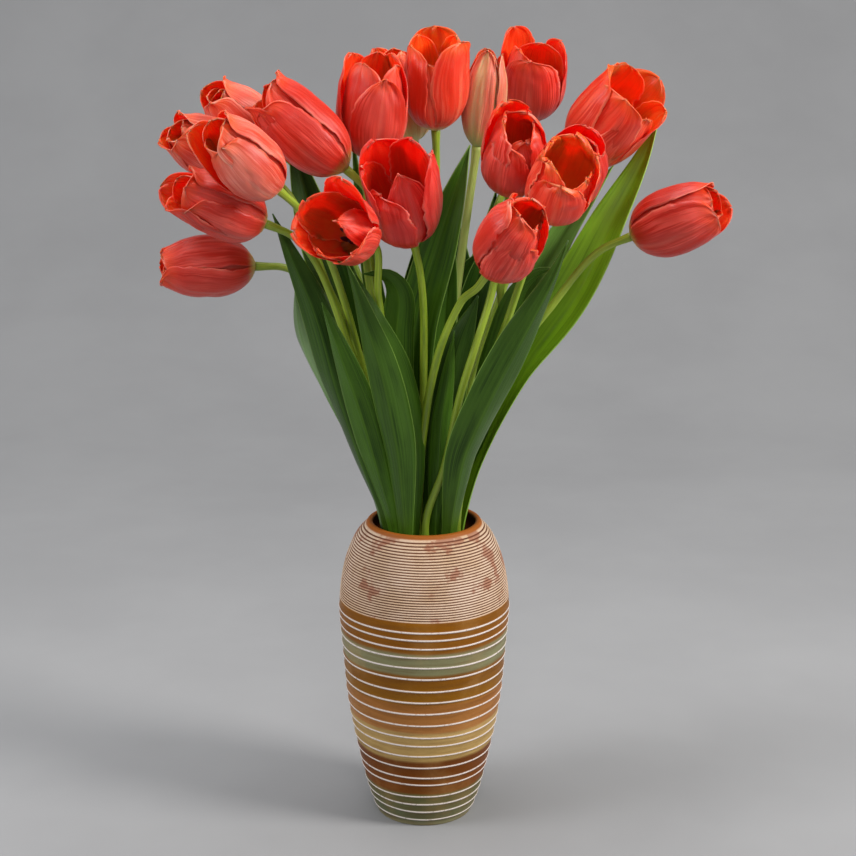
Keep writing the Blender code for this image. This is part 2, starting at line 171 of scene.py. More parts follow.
# Petals that stand apart from the rest of their bloom, by bloom and by place in the whorl, where the
# even ones are outer: outward tilt, share of the full length, inward curl of the tip in mm, share of
# the full width, and share of the painted pink sheen laid across the middle of its outside.
PETAL_BENDS = {
    ("02", 0): (3, 1.0, 0, 0.9, 0.4),
    ("02", 1): (2, 0.98, 1, 0.9, 0.6),
    ("02", 2): (1, 0.86, 2, 0.92, 0.7),
    ("02", 4): (2, 0.93, 2, 0.88, 0.5),
    ("03", 0): (4, 1.0, 1, 0.95, 0.3),
    ("03", 1): (0, 0.88, 2, 0.92, 0.7),
    ("03", 2): (1, 0.86, 3, 0.90, 0.9),
    ("03", 4): (3, 0.96, 2, 0.90, 0.8),
    ("06", 0): (3, 0.92, 2, 0.90, 0.3),
    ("06", 1): (1, 0.97, 1, 0.92, 0.2),
    ("06", 2): (2, 0.87, 1, 0.92, 0.0),
    ("06", 3): (0, 0.95, 1, 0.90, 0.3),
    ("06", 4): (2, 0.98, 3, 0.95, 0.4),
    ("07", 0): (1, 0.84, 2, 0.82, 1.0),
    ("07", 1): (-4, 0.93, 1, 0.9, 0.5),
    ("07", 2): (-3, 0.98, 3, 0.85, 0.4),
    ("07", 4): (2, 0.95, 1, 0.9, 0.5),
    ("08", 0): (-2, 0.90, 1, 0.88, 0.5),
    ("08", 2): (1, 0.95, 0, 0.92, 0.4),
    ("08", 1): (-1, 0.74, 0, 0.86, 0.6),
    ("08", 4): (1, 1.0, 1, 1.0, 0.2),
    ("08", 5): (-2, 0.95, 1, 0.86, 0.4),
    ("11", 0): (1, 0.86, 2, 0.98, 0.8),
    ("11", 1): (-4, 0.64, 3, 0.80, 0.3),
    ("11", 2): (2, 0.90, 5, 0.88, 0.8),
    ("11", 3): (-3, 0.84, 4, 0.95, 0.3),
    ("11", 4): (1, 1.0, 3, 0.88, 0.3),
    ("11", 5): (-2, 0.90, 3, 0.90, 0.6),
    ("12", 0): (1, 0.76, 3, 0.88, 0.5),
    ("12", 1): (-5, 0.74, 3, 0.82, 0.9),
    ("12", 2): (-4, 0.90, 4, 0.88, 0.7),
    ("12", 3): (-4, 0.94, 2, 0.92, 0.3),
    ("12", 4): (2, 1.0, 2, 1.0, 0.4),
    ("12", 5): (0, 0.94, 3, 1.0, 0.8),
    ("13", 0): (2, 0.82, 2, 0.90, 0.5),
    ("13", 1): (-1, 0.80, 1, 0.85, 0.7),
    ("13", 2): (2, 0.90, 1, 0.95, 0.6),
    ("13", 3): (0, 0.97, 0, 1.0, 0.3),
    ("13", 4): (-2, 1.0, 2, 0.92, 0.2),
    ("13", 5): (0, 0.95, 1, 1.0, 0.3),
    ("14", 0): (-4, 0.97, 3, 0.86, 0.4),
    ("14", 5): (-5, 0.94, 3, 0.86, 0.4),
    ("15", 0): (2, 0.72, 2, 0.88, 0.3),
    ("15", 1): (-2, 0.82, 2, 0.85, 0.6),
    ("15", 2): (2, 0.90, 1, 0.90, 0.7),
    ("15", 3): (0, 0.97, 1, 1.0, 0.3),
    ("15", 4): (2, 1.0, 3, 1.0, 0.5),
    ("15", 5): (1, 0.95, 4, 1.0, 0.3),
    ("16", 0): (3, 0.97, 0, 0.95, 0.5),
    ("16", 2): (2, 1.0, -2, 0.9, 0.3),
    ("17", 0): (3, 0.98, -1, 1.0, 0.1),
    ("17", 1): (3, 0.80, 2, 0.95, 0.5),
    ("17", 2): (6, 0.84, 0, 0.9, 0.8),
    ("17", 3): (-9, 0.92, 6, 0.58, 0.9),
    ("17", 4): (6, 1.0, -2, 0.95, 0.5),
    ("17", 5): (2, 1.0, 2, 0.9, 0.2),
    ("18", 0): (1, 0.70, 4, 1.0, 0.6),
    ("18", 1): (-9, 0.86, 3, 0.7, 0.8),
    ("18", 2): (4, 0.97, 1, 0.85, 0.5),
    ("18", 3): (2, 1.0, 1, 0.95, 0.2),
    ("18", 4): (3, 1.0, -1, 1.0, 0.2),
    ("18", 5): (2, 0.90, -1, 0.9, 0.4),
    ("19", 0): (0, 0.86, 1, 0.80, 0.7),
    ("19", 1): (6, 0.88, -2, 0.85, 0.8),
    ("19", 2): (8, 0.93, -3, 0.92, 0.1),
    ("19", 3): (2, 0.96, 0, 1.0, 0.2),
    ("19", 4): (2, 1.0, -1, 0.92, 0.2),
    ("19", 5): (2, 0.97, -2, 0.95, 0.6),
}

# Petal tones: outside, its pink for the veins and the painted sheen, margin for the pale edge and the
# painted highlights on the rim and tips, base of the petal, and inside, as linear colours; then how far
# up the base colour reaches, and how strong the pale middle streak is.
TONES = {
    "coral": (
        (0.50, 0.017, 0.006), (0.83, 0.092, 0.064), (0.88, 0.27, 0.19), (0.60, 0.48, 0.12),
        (0.95, 0.058, 0.008), 0.13, 0.20,
    ),
    "salmon": (
        (0.66, 0.050, 0.022), (0.94, 0.25, 0.180), (0.94, 0.42, 0.30), (0.66, 0.55, 0.20),
        (0.92, 0.075, 0.006), 0.14, 0.25,
    ),
    "orange": (
        (0.68, 0.025, 0.006), (0.92, 0.115, 0.062), (0.92, 0.31, 0.17), (0.66, 0.60, 0.18),
        (0.96, 0.090, 0.006), 0.14, 0.35,
    ),
    "deep": (
        (0.46, 0.012, 0.007), (0.72, 0.068, 0.052), (0.86, 0.26, 0.19), (0.60, 0.46, 0.12),
        (0.80, 0.018, 0.004), 0.12, 0.15,
    ),
    "striped": (
        (0.64, 0.035, 0.012), (0.84, 0.16, 0.08), (0.88, 0.40, 0.22), (0.62, 0.56, 0.20),
        (0.92, 0.060, 0.005), 0.46, 0.40,
    ),
    "bud": (
        (0.64, 0.115, 0.065), (0.78, 0.30, 0.19), (0.80, 0.46, 0.30), (0.46, 0.50, 0.15),
        (0.75, 0.08, 0.02), 0.30, 0.60,
    ),
}

# One row a leaf: wave of its margins (mm), number of waves, turn at the tip (degrees), tone.
LEAF_LOOKS = {
    "01": (2.0, 1.6, 10, "dark"), "02": (3.0, 1.2, -14, "frosted"), "03": (1.6, 1.8, 8, "mid"),
    "04": (2.2, 1.5, 14, "mid"), "05": (1.0, 1.4, -10, "fresh"), "06": (2.0, 1.5, 12, "fresh"),
    "07": (2.2, 1.7, -12, "mid"), "08": (2.2, 1.8, 14, "light"), "09": (1.0, 1.2, 6, "pale"),
    "10": (1.8, 1.5, 10, "fresh"), "11": (1.0, 1.4, -8, "fresh"), "12": (1.0, 1.2, 8, "fresh"),
    "13": (1.2, 1.3, 6, "dark"), "14": (0.4, 1.3, 8, "mid"), "15": (1.4, 1.5, 10, "fresh"),
    "16": (0.8, 1.4, 8, "fresh"), "17": (0.4, 1.3, -6, "mid"), "18": (1.2, 1.4, 8, "dark"),
    "19": (1.2, 1.3, 8, "fresh"), "20": (0.9, 1.3, -8, "mid"),
}

# Leaf tones: upper side, its lighter colour for veins, streaks and painted highlights, underside, its
# lighter colour for the same.
LEAF_TONES = {
    "dark": (
        (0.006, 0.026, 0.001), (0.020, 0.064, 0.003), (0.012, 0.036, 0.003), (0.036, 0.086, 0.008),
    ),
    "mid": (
        (0.007, 0.028, 0.001), (0.026, 0.074, 0.003), (0.012, 0.035, 0.002), (0.041, 0.096, 0.008),
    ),
    "fresh": (
        (0.012, 0.042, 0.001), (0.043, 0.112, 0.003), (0.015, 0.046, 0.002), (0.050, 0.122, 0.007),
    ),
    # Tone of leaf 08: a yellow-green leaf, made brighter still as painted light from the lamp on its side.
    "light": (
        (0.100, 0.230, 0.003), (0.230, 0.450, 0.016), (0.085, 0.190, 0.010), (0.200, 0.380, 0.030),
    ),
    "pale": (
        (0.080, 0.170, 0.022), (0.150, 0.290, 0.050), (0.072, 0.150, 0.026), (0.150, 0.260, 0.070),
    ),
    "frosted": (
        (0.045, 0.100, 0.018), (0.095, 0.190, 0.040), (0.090, 0.160, 0.055), (0.190, 0.290, 0.130),
    ),
}


# ---------------------------------------------------------------- paths

def smooth_path(points, count, start_heading=None, end_heading=None):
    """Count points, evenly spaced, on a smooth curve through the given ones."""
    knots = [0.0]
    for a, b in zip(points, points[1:]):
        knots.append(knots[-1] + (b - a).length)
    slopes = []
    for i in range(len(points)):
        lo, hi = max(i - 1, 0), min(i + 1, len(points) - 1)
        slopes.append((points[hi] - points[lo]) / (knots[hi] - knots[lo]))
    if start_heading:
        slopes[0] = start_heading
    if end_heading:
        slopes[-1] = end_heading
    dense = []
    for i in range(len(points) - 1):
        span = knots[i + 1] - knots[i]
        for k in range(16):
            u = k / 16
            dense.append(
                points[i] * (2 * u**3 - 3 * u**2 + 1)
                + slopes[i] * span * (u**3 - 2 * u**2 + u)
                + points[i + 1] * (3 * u**2 - 2 * u**3)
                + slopes[i + 1] * span * (u**3 - u**2)
            )
    dense.append(points[-1])
    run = [0.0]
    for a, b in zip(dense, dense[1:]):
        run.append(run[-1] + (b - a).length)
    spaced = []
    at = 0
    for k in range(count):
        target = run[-1] * k / (count - 1)
        while at < len(run) - 2 and run[at + 1] < target:
            at += 1
        share = (target - run[at]) / (run[at + 1] - run[at])
        spaced.append(dense[at].lerp(dense[at + 1], min(share, 1.0)))
    return spaced


def direction(azimuth, elevation):
    a, e = math.radians(azimuth), math.radians(elevation)
    return Vector((math.cos(e) * math.cos(a), math.cos(e) * math.sin(a), math.sin(e)))


def frame_of(axis):
    """Two directions square to the axis and to each other."""
    side = axis.cross(UP)
    if side.length < 0.05:
        side = axis.cross(Vector((0, 1, 0)))
    side.normalize()
    return side, axis.cross(side)


def smooth_step(low, high, value):
    t = min(max((value - low) / (high - low), 0.0), 1.0)
    return t * t * (3 - 2 * t)


def curve_value(knots, at):
    """Height at one place of a smooth curve through knots of (place, height)."""
    i = 0
    while i < len(knots) - 2 and at > knots[i + 1][0]:
        i += 1
    (x0, y0), (x1, y1) = knots[i], knots[i + 1]
    before = knots[max(i - 1, 0)]
    after = knots[min(i + 2, len(knots) - 1)]
    span = x1 - x0
    m0 = (y1 - before[1]) / (x1 - before[0]) * span
    m1 = (after[1] - y0) / (after[0] - x0) * span
    u = (at - x0) / span
    return (
        y0 * (2 * u**3 - 3 * u**2 + 1)
        + m0 * (u**3 - 2 * u**2 + u)
        + y1 * (3 * u**2 - 2 * u**3)
        + m1 * (u**3 - u**2)
    )


# ---------------------------------------------------------------- meshes

def mesh_object(name, points, faces, attributes, materials, slots=None):
    """One smooth-shaded object; attributes maps a name to one vector a point."""
    mesh = bpy.data.meshes.new(name)
    mesh.from_pydata(points, [], faces)
    for key, values in attributes.items():
        store = mesh.attributes.new(key, "FLOAT_VECTOR", "POINT")
        store.data.foreach_set("vector", [part for value in values for part in value])
    for material in materials:
        mesh.materials.append(material)
    if slots:
        mesh.polygons.foreach_set("material_index", slots)
    mesh.polygons.foreach_set("use_smooth", [True] * len(mesh.polygons))
    mesh.update()
    obj = bpy.data.objects.new(name, mesh)
    bpy.context.scene.collection.objects.link(obj)
    return obj


def grid_faces(rows, columns, start=0, closed=False):
    """Faces of a grid of points laid row by row."""
    faces = []
    last = columns if closed else columns - 1
    for i in range(rows - 1):
        for j in range(last):
            k = (j + 1) % columns
            low, high = start + i * columns, start + (i + 1) * columns
            faces.append((low + j, low + k, high + k, high + j))
    return faces


def two_sided(obj, thickness, offset):
    """Gives a sheet its thickness, with the second material on its other side."""
    solid = obj.modifiers.new("thickness", "SOLIDIFY")
    solid.thickness = thickness
    solid.offset = offset
    solid.use_rim = True
    solid.material_offset = 1
    solid.material_offset_rim = 0


def place_piece(obj, node):
    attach(obj, "root")
    if node:
        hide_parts(node)
    return obj


# ---------------------------------------------------------------- material nodes

class Finish:
    """One node material, with short calls for the nodes it needs."""

    def __init__(self, name):
        self.material = bpy.data.materials.new(name)
        self.material.use_nodes = True
        self.tree = self.material.node_tree
        self.shader = self.tree.nodes["Principled BSDF"]

    def node(self, kind, **values):
        made = self.tree.nodes.new(kind)
        for key, value in values.items():
            setattr(made, key, value)
        return made

    def feed(self, socket, value):
        if isinstance(value, bpy.types.NodeSocket):
            self.tree.links.new(value, socket)
        elif isinstance(value, tuple) and len(value) == 3 and socket.type == "RGBA":
            socket.default_value = (*value, 1)
        else:
            socket.default_value = value

    def set(self, name, value):
        self.feed(self.shader.inputs[name], value)

    def attribute(self, name):
        """The three parts of a stored vector."""
        stored = self.node("ShaderNodeAttribute", attribute_name=name)
        split = self.node("ShaderNodeSeparateXYZ")
        self.tree.links.new(stored.outputs["Vector"], split.inputs[0])
        return split.outputs[0], split.outputs[1], split.outputs[2]

    def math(self, operation, a, b=0.0):
        made = self.node("ShaderNodeMath", operation=operation)
        self.feed(made.inputs[0], a)
        self.feed(made.inputs[1], b)
        return made.outputs[0]

    def vector(self, x, y, z):
        made = self.node("ShaderNodeCombineXYZ")
        for socket, value in zip(made.inputs, (x, y, z)):
            self.feed(socket, value)
        return made.outputs[0]

    def noise(self, vector, scale, detail=2.0, roughness=0.5):
        made = self.node("ShaderNodeTexNoise")
        self.feed(made.inputs["Vector"], vector)
        self.feed(made.inputs["Scale"], scale)
        self.feed(made.inputs["Detail"], detail)
        self.feed(made.inputs["Roughness"], roughness)
        return made.outputs[0]

    def spread(self, value, low, high, to_low=0.0, to_high=1.0):
        """Smoothly maps low..high to to_low..to_high, and holds the ends."""
        made = self.node("ShaderNodeMapRange", interpolation_type="SMOOTHSTEP")
        for key, part in zip(("Value", "From Min", "From Max", "To Min", "To Max"),
                             (value, low, high, to_low, to_high)):
            self.feed(made.inputs[key], part)
        return made.outputs[0]

    def mix(self, share, a, b):
        made = self.node("ShaderNodeMix", data_type="RGBA")
        self.feed(made.inputs[0], share)
        self.feed(made.inputs[6], a)
        self.feed(made.inputs[7], b)
        return made.outputs[2]

    def ramp(self, value, stops):
        made = self.node("ShaderNodeValToRGB")
        elements = made.color_ramp.elements
        while len(elements) < len(stops):
            elements.new(0.5)
        for element, (place, colour) in zip(elements, stops):
            element.position = place
            element.color = (*colour, 1)
        self.feed(made.inputs[0], value)
        return made.outputs[0]

    def bump(self, height, distance, strength=1.0):
        made = self.node("ShaderNodeBump")
        made.inputs["Strength"].default_value = strength
        made.inputs["Distance"].default_value = distance
        self.feed(made.inputs["Height"], height)
        self.set("Normal", made.outputs[0])


def petal_finish(name, tone, inner):
    """Satin petal: fine lengthwise veins, a pale margin and tips partly painted as highlight, a pale middle
    streak, a yellowish base, and a painted pink sheen across the middle of the outside.
    """
    face, pink, margin, base, inside, base_reach, streak = tone
    finish = Finish(name)
    across, along, sheen_share = finish.attribute("place")
    edge = finish.math("ABSOLUTE", across)
    offset = finish.math("MULTIPLY", sheen_share, 37.0)
    fine = finish.vector(
        finish.math("MULTIPLY", across, 13.0), finish.math("MULTIPLY", along, 1.1), offset
    )
    vein = finish.noise(fine, 1.0, 4.0, 0.65)
    wide = finish.vector(
        finish.math("MULTIPLY", across, 1.6), finish.math("MULTIPLY", along, 2.2), offset
    )
    broad = finish.noise(wide, 1.0, 2.0)
    if inner:
        deep = tuple(part * 0.86 for part in inside)
        colour = finish.mix(finish.spread(vein, 0.3, 0.7), deep, inside)
        colour = finish.mix(finish.spread(along, 0.05, 0.75), deep, colour)
        colour = finish.mix(finish.spread(edge, 0.93, 1.0, 0.0, 0.35), colour, margin)
        colour = finish.mix(finish.spread(along, 0.16, 0.05, 0.0, 0.7), colour, (0.35, 0.24, 0.03))
    else:
        veined = finish.mix(finish.spread(vein, 0.40, 0.60), face, pink)
        colour = finish.mix(finish.spread(broad, 0.35, 0.7, 0.15, 0.9), face, veined)
        # Painted sheen: pink laid across the middle of the petal's outside, stronger on some petals than on
        # others.
        painted_sheen = finish.math(
            "MULTIPLY", finish.spread(edge, 0.75, 0.15), finish.spread(sheen_share, 0.1, 1.0, 0.0, 0.5)
        )
        colour = finish.mix(painted_sheen, colour, pink)
        warm = (inside[0], inside[1] * 1.5, inside[2] * 1.4)
        colour = finish.mix(finish.spread(along, 0.80, 1.0, 0.0, 0.5), colour, warm)
        rib = finish.math(
            "MULTIPLY", finish.spread(edge, 0.12, 0.0, 0.0, streak), finish.spread(along, 0.98, 0.3)
        )
        colour = finish.mix(rib, colour, margin)
        if streak > 0.5:
            middle = finish.spread(
                finish.math("ADD", edge, finish.math("MULTIPLY", vein, 0.4)), 0.75, 0.35
            )
            colour = finish.mix(finish.math("MULTIPLY", middle, streak), colour, (0.70, 0.60, 0.28))
        # Pale margin in patches: partly the petal's own paler edge, partly painted highlight along the rim.
        pale_edge_and_highlight = finish.math(
            "MULTIPLY", finish.spread(edge, 0.90, 1.0), finish.spread(broad, 0.40, 0.66, 0.05, 0.6)
        )
        colour = finish.mix(pale_edge_and_highlight, colour, margin)
        # Pale tips in patches: partly paler colour, partly painted highlight.
        tipped = finish.math(
            "MULTIPLY", finish.spread(along, 0.965, 1.0), finish.spread(broad, 0.4, 0.6, 0.1, 0.8)
        )
        colour = finish.mix(tipped, colour, margin)
        low = finish.math(
            "ADD", along, finish.math("MULTIPLY", finish.math("SUBTRACT", vein, 0.5), base_reach)
        )
        colour = finish.mix(finish.spread(low, base_reach, 0.01, 0.0, 0.9), colour, base)
    finish.set("Base Color", colour)
    finish.set("Roughness", finish.spread(vein, 0.2, 0.8, 0.30, 0.46))
    finish.set("Specular IOR Level", 0.34)
    finish.set("Sheen Weight", 0.03)
    finish.set("Sheen Roughness", 0.4)
    finish.set("Sheen Tint", (1.0, 0.62, 0.55))
    finish.set("Subsurface Weight", 0.85 if inner else 0.35)
    finish.set("Subsurface Radius", (1.0, 0.12, 0.05))
    finish.set("Subsurface Scale", 0.004 if inner else 0.003)
    finish.bump(vein, 0.0006, 0.8)
    return finish.material


def leaf_finish(name, colour_low, colour_high, shine):
    """Leaf blade with close lengthwise veins, a lighter midrib, a thin pale edge, and lighter streaks and
    margins that are partly painted highlight.
    """
    finish = Finish(name)
    across, along, piece = finish.attribute("place")
    edge = finish.math("ABSOLUTE", across)
    offset = finish.math("MULTIPLY", piece, 53.0)
    fine = finish.vector(
        finish.math("MULTIPLY", across, 15.0), finish.math("MULTIPLY", along, 1.2), offset
    )
    vein = finish.noise(fine, 1.0, 3.0, 0.6)
    wide = finish.vector(
        finish.math("MULTIPLY", across, 1.4), finish.math("MULTIPLY", along, 5.0), offset
    )
    broad = finish.noise(wide, 1.0, 3.0)
    colour = finish.mix(finish.spread(vein, 0.3, 0.7), colour_low, colour_high)
    # Lighter streaks along the blade: partly the leaf's own uneven green, partly painted highlight.
    colour = finish.mix(finish.spread(broad, 0.38, 0.66, 0.0, 0.85), colour, colour_high)
    # Painted highlight: lighter towards both margins, where the raised edges catch the light.
    colour = finish.mix(finish.spread(edge, 0.6, 1.0, 0.0, 0.4), colour, colour_high)
    colour = finish.mix(finish.spread(edge, 0.07, 0.0, 0.0, 0.22), colour, (0.11, 0.22, 0.02))
    colour = finish.mix(finish.spread(edge, 0.955, 1.0, 0.0, 0.6), colour, (0.26, 0.42, 0.08))
    colour = finish.mix(finish.spread(along, 0.24, 0.0, 0.0, 0.35), colour, (0.10, 0.18, 0.01))
    finish.set("Base Color", colour)
    finish.set("Roughness", finish.spread(vein, 0.2, 0.8, 0.30, 0.42))
    finish.set("Specular IOR Level", shine)
    finish.bump(vein, 0.0005, 0.7)
    return finish.material


def stem_finish(name, low, high):
    finish = Finish(name)
    around, along, piece = finish.attribute("place")
    streak = finish.noise(
        finish.vector(finish.math("MULTIPLY", around, 9.0), finish.math("MULTIPLY", along, 7.0),
                      finish.math("MULTIPLY", piece, 31.0)), 1.0, 3.0, 0.6,
    )
    colour = finish.mix(finish.spread(streak, 0.3, 0.7), low, high)
    # Painted shade: darker towards the foot of the stem, where it stands low among the leaves and in the
    # neck of the vase.
    dark = tuple(part * 0.55 for part in low)
    colour = finish.mix(finish.spread(along, 0.75, 0.25, 0.0, 0.7), colour, dark)
    finish.set("Base Color", colour)
    finish.set("Roughness", finish.spread(streak, 0.2, 0.8, 0.36, 0.5))
    finish.set("Subsurface Weight", 0.1)
    finish.set("Subsurface Radius", (0.4, 1.0, 0.2))
    finish.set("Subsurface Scale", 0.002)
    finish.bump(streak, 0.0003, 0.4)
    return finish.material


GRAIN_DEPTH = 0.3 * MM


def plain_finish(name, low, high, scale, roughness):
    """Mottled colour for the small parts inside a bloom."""
    finish = Finish(name)
    spot = finish.node("ShaderNodeTexCoord").outputs["Object"]
    grain = finish.noise(spot, scale, 3.0)
    finish.set("Base Color", finish.mix(finish.spread(grain, 0.3, 0.7), low, high))
    finish.set("Roughness", finish.spread(grain, 0.2, 0.8, roughness, roughness + 0.12))
    finish.bump(grain, GRAIN_DEPTH, 0.6)
    return finish.material


# ---------------------------------------------------------------- blooms

PETAL_ROWS = 34
PETAL_COLUMNS = 25
PETAL_THICKNESS = 0.45 * MM
PETAL_WIDTH = (
    (0.0, 0.14), (0.06, 0.46), (0.14, 0.76), (0.42, 1.10), (0.60, 1.10), (0.75, 1.02), (0.87, 0.86),
    (0.94, 0.66), (0.98, 0.40), (1.0, 0.06),
)
SHARP_WIDTH = (
    (0.0, 0.14), (0.06, 0.46), (0.14, 0.76), (0.42, 1.10), (0.60, 1.02), (0.75, 0.80), (0.87, 0.50),
    (0.95, 0.24), (1.0, 0.03),
)


def bloom_radius(along, mouth, flare):
    """Radius of the cup as a share of its greatest."""
    knots = (
        (0.0, 0.12), (0.05, 0.42), (0.14, 0.72), (0.28, 0.93), (0.42, 1.0),
        (0.60, 1 + (mouth - 1) * 0.08), (0.76, 1 + (mouth - 1) * 0.30),
        (0.89, 1 + (mouth - 1) * 0.66 + flare * 0.3), (1.0, mouth + flare),
    )
    return curve_value(knots, along)


def petal_points(number, place, row, looks, rng):
    """Points and places of one petal, row by row from its base to its tip."""
    base, angles, length, width, mouth, turn, _, _ = row
    flare, roll, ragged, sharp, _, swing = looks
    inner = place % 2 == 1
    plain = (
        rng.uniform(-3.5, 0.0) if inner else rng.uniform(-0.5, 3.0),
        rng.uniform(0.92, 0.97) if inner else rng.uniform(0.95, 1.0),
        rng.uniform(0.0, 2.0),
        rng.uniform(0.84, 0.98),
        rng.random(),
    )
    tilt, share, curl, breadth, sheen_share = PETAL_BENDS.get((number, place), plain)
    axis = direction(*angles)
    side, up = frame_of(axis)
    centre = Vector(base) * MM
    radius = width / 2 * MM
    reach = length * MM * share
    mouth += rng.uniform(-0.06, 0.06)
    flare *= rng.uniform(0.6, 1.3)
    pointed = min(sharp + max(0.9 - breadth, 0.0) * 4, 1.0)
    skew = rng.uniform(-0.14, 0.14)
    inset = 2.4 * MM if inner else 0.0
    lean = rng.uniform(0.6, 1.1) * MM * (0.4 if inner else 1.0)
    fold = rng.uniform(0.5, 1.3) * MM
    roll *= 0.2 if inner else 1.0
    angle = math.radians(turn + swing + 60 * place + rng.uniform(-5, 5))
    outward = side * math.cos(angle) + up * math.sin(angle)
    round_way = axis.cross(outward)
    seed = int(number) * 10 + place * 1.7
    points, places = [], []
    for i in range(PETAL_ROWS):
        t = 1 - (1 - i / (PETAL_ROWS - 1)) ** 1.45
        cup = bloom_radius(t, mouth, flare) * radius
        broad = curve_value(PETAL_WIDTH, t) * (1 - pointed) + curve_value(SHARP_WIDTH, t) * pointed
        broad = max(broad, 0.0) * radius * breadth
        bend = max(cup, 0.62 * radius * smooth_step(0.3, 0.8, t), 1.0 * MM)
        high = smooth_step(0.55, 1.0, t)
        for j in range(PETAL_COLUMNS):
            s = 2 * j / (PETAL_COLUMNS - 1) - 1
            wobble = noise.noise(Vector((s * 1.3, t * 5.0, seed)))
            crease = noise.noise(Vector((s * 2.8, t * 6.5, seed + 3)))
            fray = noise.noise(Vector((math.copysign(3.0, s), t * 16.0, seed)))
            notch = noise.noise(Vector((s * 3.2, 4.0, seed + 7)))
            reach_out = broad * (1 + ragged * 0.09 * fray * abs(s) ** 3)
            around = s * reach_out / bend + skew * t * t * (radius / bend)
            lift = -inset * smooth_step(0.0, 0.2, t)
            lift += lean * s * smooth_step(0.1, 0.5, t)
            lift += roll * radius * abs(s) ** 3 * smooth_step(0.45, 1.0, t)
            lift += ragged * 2.2 * MM * wobble * s * s * smooth_step(0.2, 0.9, t)
            lift += ragged * 2.6 * MM * crease * high
            lift += 0.6 * MM * noise.noise(Vector((s * 2.6, t * 2.0, seed + 5)))
            lift += 0.75 * MM * noise.noise(Vector((s * 5.0, t * 1.5, seed + 9)))
            valley = abs(noise.noise(Vector((s * 2.3 + t * 0.6, t * 1.3, seed + 11))))
            lift -= 0.9 * MM * max(1 - valley * 6, 0.0) * smooth_step(0.15, 0.5, t)
            lift += t * reach * math.sin(math.radians(tilt))
            lift -= fold * math.exp(-((s / 0.11) ** 2)) * smooth_step(0.05, 0.4, t)
            lift -= curl * MM * high**1.6
            height = t * reach - abs(curl) * 0.3 * MM * high**2
            height -= ragged * 2.4 * MM * (abs(fray) * abs(s) + 1.2 * abs(notch)) * smooth_step(0.75, 1.0, t)
            point = (
                centre
                + outward * (cup + lift - bend + bend * math.cos(around))
                + round_way * (bend * math.sin(around))
                + axis * height
            )
            points.append(point)
            places.append((s, t, sheen_share))
    return points, places


def make_bloom(number, row, looks, finishes):
    rng = random.Random(1000 + int(number))
    points, places, faces = [], [], []
    for place in range(6):
        own_points, own_places = petal_points(number, place, row, looks, rng)
        faces += grid_faces(PETAL_ROWS, PETAL_COLUMNS, len(points))
        points += own_points
        places += own_places
    bloom = mesh_object(
        "bloom_%s_petals" % number, points, faces, {"place": places}, finishes[looks[4]]
    )
    two_sided(bloom, PETAL_THICKNESS, -1.0)
    return place_piece(bloom, "bloom_" + number)


def tube(path, radii, sides, piece, start, lobes=0.0):
    """Points, places and faces of a capped tube along a path."""
    points, places, faces = [], [], []
    side, _ = frame_of((path[1] - path[0]).normalized())
    for i, centre in enumerate(path):
        ahead = (path[min(i + 1, len(path) - 1)] - path[max(i - 1, 0)]).normalized()
        side = (side - ahead * side.dot(ahead)).normalized()
        other = ahead.cross(side)
        for k in range(sides):
            angle = 2 * math.pi * k / sides
            radius = radii[i] * (1 + lobes * math.cos(3 * angle))
            points.append(centre + side * (math.cos(angle) * radius) + other * (math.sin(angle) * radius))
            places.append((math.sin(angle), i / (len(path) - 1), piece))
    faces += grid_faces(len(path), sides, start, closed=True)
    faces.append(tuple(start + k for k in reversed(range(sides))))
    faces.append(tuple(start + (len(path) - 1) * sides + k for k in range(sides)))
    return points, places, faces


def make_heart(number, row, materials):
    """Pistil and six stamens inside a bloom."""
    base, angles, length, width, _, turn, _, _ = row
    axis = direction(*angles)
    side, up = frame_of(axis)
    centre = Vector(base) * MM
    points, places, faces, slots = [], [], [], []

    def add(path, radii, sides, slot, lobes=0.0):
        own_points, own_places, own_faces = tube(path, radii, sides, 0.5, len(points), lobes)
        points.extend(own_points)
        places.extend(own_places)
        faces.extend(own_faces)
        slots.extend([slot] * len(own_faces))

    spread = min(1.0, width / 50) ** 1.3
    tall = 0.30 * length * MM
    column = [centre + axis * (1.0 * MM + tall * k / 10) for k in range(11)]
    shape = (2.2, 2.7, 2.8, 2.7, 2.6, 2.4, 2.2, 2.2, 2.9, 3.3, 1.6)
    add(column, [r * spread * MM for r in shape], 18, 0, 0.16)
    for k in range(6):
        angle = math.radians(turn + 30 + 60 * k)
        out = side * math.cos(angle) + up * math.sin(angle)
        foot = centre + out * (3.6 * spread * MM) + axis * (2.0 * MM)
        top = centre + out * (6.4 * spread * MM) + axis * (0.19 * length * MM)
        add([foot.lerp(top, u / 4) for u in range(5)], [r * MM for r in (1.0, 0.9, 0.8, 0.7, 0.5)], 8, 0)
        rise = (axis + out * 0.12 * spread).normalized()
        anther = [top + rise * (12.0 * MM * u / 8 - 0.6 * MM) for u in range(9)]
        add(anther, [r * MM for r in (0.5, 1.2, 1.6, 1.75, 1.8, 1.75, 1.6, 1.2, 0.4)], 10, 1, 0.10)
    heart = mesh_object("bloom_%s_heart" % number, points, faces, {"place": places}, materials, slots)
    return place_piece(heart, None)


# ---------------------------------------------------------------- stems

STEM_STEPS = 72
STEM_SIDES = 14


